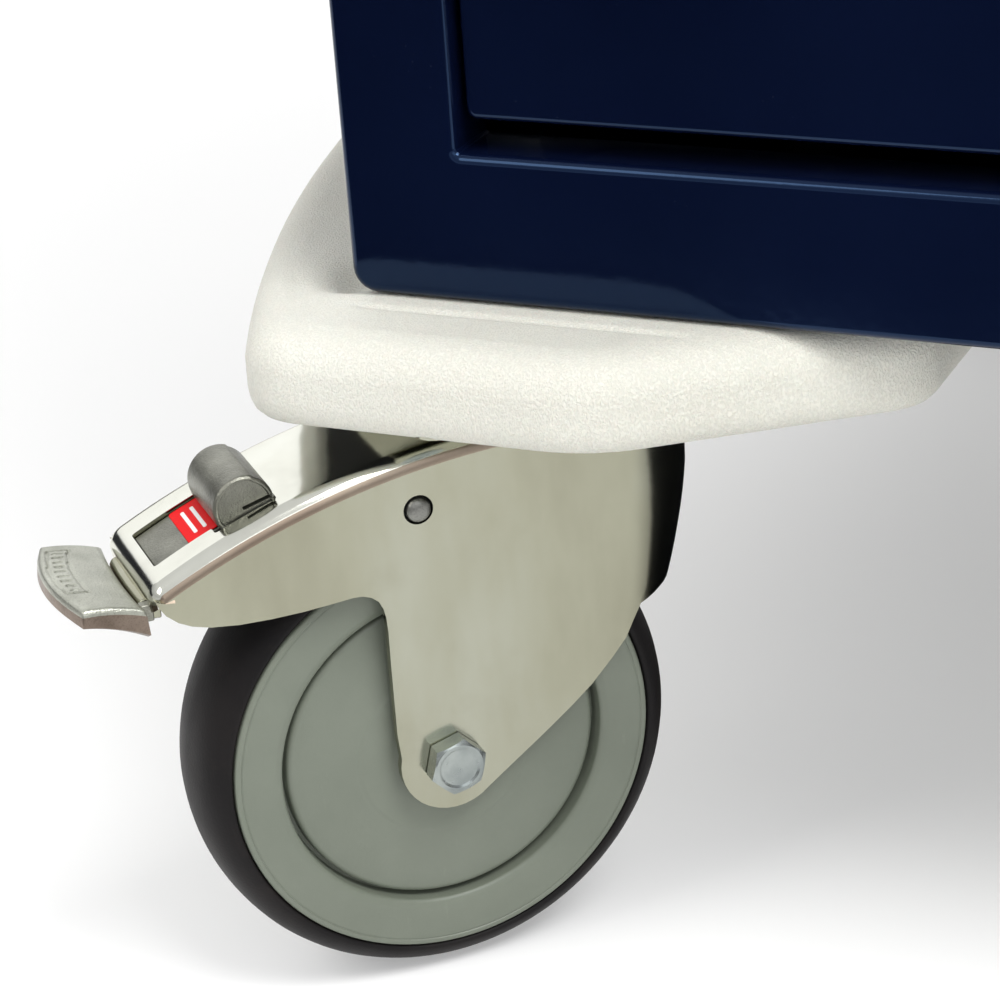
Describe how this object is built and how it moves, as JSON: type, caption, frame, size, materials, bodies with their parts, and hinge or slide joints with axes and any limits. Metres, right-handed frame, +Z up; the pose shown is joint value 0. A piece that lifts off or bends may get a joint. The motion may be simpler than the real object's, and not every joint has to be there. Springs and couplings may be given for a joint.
{
  "type": "crash cart",
  "caption": "Hospital crash cart: steel drawer cabinet on a moulded bumper base with swivel casters, work top, push handle, defibrillator shelf, IV pole and oxygen bracket.",
  "frame": {"origin": "on the floor, under the middle of the outer box of the cart at rest", "axes": "+Z up, -Y the drawer front, +X the viewer's right when facing the drawers"},
  "size_m": [0.8248, 0.6022, 1.237],
  "materials": {
    "navy_powder_coat": "gloss",
    "cream_moulding": "leather grain",
    "zinc_plate": "satin zinc plate",
    "cast_zinc": "as cast, zinc plated",
    "bolt_zinc": "bright zinc",
    "wheel_grey": "satin",
    "tyre_black": "matt",
    "tray_grey": "satin",
    "black_plastic": "matt",
    "board_white": "satin",
    "chrome_plate": "polished"
  },
  "bodies": {
    "cart": {"front_left_swivel_head": "zinc_plate", "front_right_swivel_head": "zinc_plate", "rear_left_swivel_head": "zinc_plate", "rear_right_swivel_head": "zinc_plate", "base_bumper_left": "cream_moulding", "base_bumper_right": "cream_moulding", "base_frame": "zinc_plate", "cabinet_shell": "navy_powder_coat", "slide_panel_left": "zinc_plate", "slide_panel_right": "zinc_plate", "work_top": "cream_moulding", "push_handle": "chrome_plate", "defib_post": "chrome_plate", "iv_pole_bracket": "zinc_plate", "iv_pole_tube": "chrome_plate", "board_bracket": "zinc_plate", "oxygen_bracket": "zinc_plate"},
    "front_left_caster": {"front_left_fork": "zinc_plate", "front_left_axle_bolt": "bolt_zinc", "front_left_brake_pin": "bolt_zinc"},
    "front_left_wheel": {"front_left_wheel_centre": "wheel_grey", "front_left_tyre": "tyre_black"},
    "front_left_brake": {"front_left_brake_lever": "cast_zinc"},
    "front_right_caster": {"front_right_fork": "zinc_plate", "front_right_axle_bolt": "bolt_zinc", "front_right_brake_pin": "bolt_zinc"},
    "front_right_wheel": {"front_right_wheel_centre": "wheel_grey", "front_right_tyre": "tyre_black"},
    "front_right_brake": {"front_right_brake_lever": "cast_zinc"},
    "rear_left_caster": {"rear_left_fork": "zinc_plate", "rear_left_axle_bolt": "bolt_zinc"},
    "rear_left_wheel": {"rear_left_wheel_centre": "wheel_grey", "rear_left_tyre": "tyre_black"},
    "rear_right_caster": {"rear_right_fork": "zinc_plate", "rear_right_axle_bolt": "bolt_zinc"},
    "rear_right_wheel": {"rear_right_wheel_centre": "wheel_grey", "rear_right_tyre": "tyre_black"},
    "drawer_1": {"drawer_1_front": "navy_powder_coat", "drawer_1_tray": "tray_grey", "drawer_1_pull": "chrome_plate"},
    "drawer_2": {"drawer_2_front": "navy_powder_coat", "drawer_2_tray": "tray_grey", "drawer_2_pull": "chrome_plate"},
    "drawer_3": {"drawer_3_front": "navy_powder_coat", "drawer_3_tray": "tray_grey", "drawer_3_pull": "chrome_plate"},
    "drawer_4": {"drawer_4_front": "navy_powder_coat", "drawer_4_tray": "tray_grey", "drawer_4_pull": "chrome_plate"},
    "drawer_5": {"drawer_5_front": "navy_powder_coat", "drawer_5_tray": "tray_grey", "drawer_5_pull": "chrome_plate"},
    "lock_lever": {"lock_lever": "black_plastic"},
    "lock_bar": {"lock_bar": "zinc_plate"},
    "key_lock": {"key_lock": "chrome_plate"},
    "defib_shelf": {"defib_shelf": "navy_powder_coat"},
    "iv_rod": {"iv_pole_rod": "chrome_plate"},
    "iv_knob": {"iv_pole_knob": "black_plastic"},
    "board": {"cardiac_board": "board_white"}
  },
  "joints": [
    {"name": "front_left_swivel", "type": "hinge", "parent": "cart", "child": "front_left_caster", "pos_m": [-0.2464, -0.19495, 0.14], "axis": [0, 0, 1], "continuous": true},
    {"name": "front_left_roll", "type": "hinge", "parent": "front_left_caster", "child": "front_left_wheel", "pos_m": [-0.27327, -0.22182, 0.0625], "axis": [0.7071, -0.7071, 0], "continuous": true},
    {"name": "front_left_brake_press", "type": "hinge", "parent": "front_left_caster", "child": "front_left_brake", "pos_m": [-0.2756, -0.22416, 0.1309], "axis": [0.7071, -0.7071, 0], "range_deg": [0, 7]},
    {"name": "front_right_swivel", "type": "hinge", "parent": "cart", "child": "front_right_caster", "pos_m": [0.2916, -0.19495, 0.14], "axis": [0, 0, 1], "continuous": true},
    {"name": "front_right_roll", "type": "hinge", "parent": "front_right_caster", "child": "front_right_wheel", "pos_m": [0.31847, -0.22182, 0.0625], "axis": [0.7071, 0.7071, 0], "continuous": true},
    {"name": "front_right_brake_press", "type": "hinge", "parent": "front_right_caster", "child": "front_right_brake", "pos_m": [0.3208, -0.22416, 0.1309], "axis": [0.7071, 0.7071, 0], "range_deg": [0, 7]},
    {"name": "rear_left_swivel", "type": "hinge", "parent": "cart", "child": "rear_left_caster", "pos_m": [-0.2464, 0.22204, 0.14], "axis": [0, 0, 1], "continuous": true},
    {"name": "rear_left_roll", "type": "hinge", "parent": "rear_left_caster", "child": "rear_left_wheel", "pos_m": [-0.27327, 0.24891, 0.0625], "axis": [-0.7071, -0.7071, 0], "continuous": true},
    {"name": "rear_right_swivel", "type": "hinge", "parent": "cart", "child": "rear_right_caster", "pos_m": [0.2916, 0.22204, 0.14], "axis": [0, 0, 1], "continuous": true},
    {"name": "rear_right_roll", "type": "hinge", "parent": "rear_right_caster", "child": "rear_right_wheel", "pos_m": [0.31847, 0.24891, 0.0625], "axis": [-0.7071, 0.7071, 0], "continuous": true},
    {"name": "drawer_1_slide", "type": "slide", "parent": "cart", "child": "drawer_1", "axis": [0, -1, 0], "range_m": [0, 0.33]},
    {"name": "drawer_2_slide", "type": "slide", "parent": "cart", "child": "drawer_2", "axis": [0, -1, 0], "range_m": [0, 0.33]},
    {"name": "drawer_3_slide", "type": "slide", "parent": "cart", "child": "drawer_3", "axis": [0, -1, 0], "range_m": [0, 0.33]},
    {"name": "drawer_4_slide", "type": "slide", "parent": "cart", "child": "drawer_4", "axis": [0, -1, 0], "range_m": [0, 0.33]},
    {"name": "drawer_5_slide", "type": "slide", "parent": "cart", "child": "drawer_5", "axis": [0, -1, 0], "range_m": [0, 0.33]},
    {"name": "lock_lever_turn", "type": "hinge", "parent": "cart", "child": "lock_lever", "pos_m": [0.3279, -0.20645, 0.893], "axis": [1, 0, 0], "range_deg": [0, 60]},
    {"name": "lock_bar_lift", "type": "slide", "parent": "cart", "child": "lock_bar", "axis": [0, 0, 1], "range_m": [0, 0.009]},
    {"name": "key_lock_turn", "type": "hinge", "parent": "cart", "child": "key_lock", "pos_m": [0.2726, -0.22146, 0.9259], "axis": [0, 1, 0], "range_deg": [0, 90]},
    {"name": "defib_shelf_swivel", "type": "hinge", "parent": "cart", "child": "defib_shelf", "pos_m": [0.3606, 0.19854, 1.065], "axis": [0, 0, 1], "range_deg": [0, 90]},
    {"name": "iv_rod_lift", "type": "slide", "parent": "cart", "child": "iv_rod", "axis": [0, 0, 1], "range_m": [0, 0.5]},
    {"name": "iv_knob_turn", "type": "hinge", "parent": "cart", "child": "iv_knob", "pos_m": [-0.3134, 0.20355, 1.128], "axis": [0, 1, 0], "range_deg": [0, 360]},
    {"name": "board_lift", "type": "slide", "parent": "cart", "child": "board", "axis": [0, 0, 1], "range_m": [0, 0.27]}
  ],
  "couplings": [
    {"joint": "lock_lever_turn", "follows": "lock_bar_lift", "rad_per_m": 116.3}
  ]
}
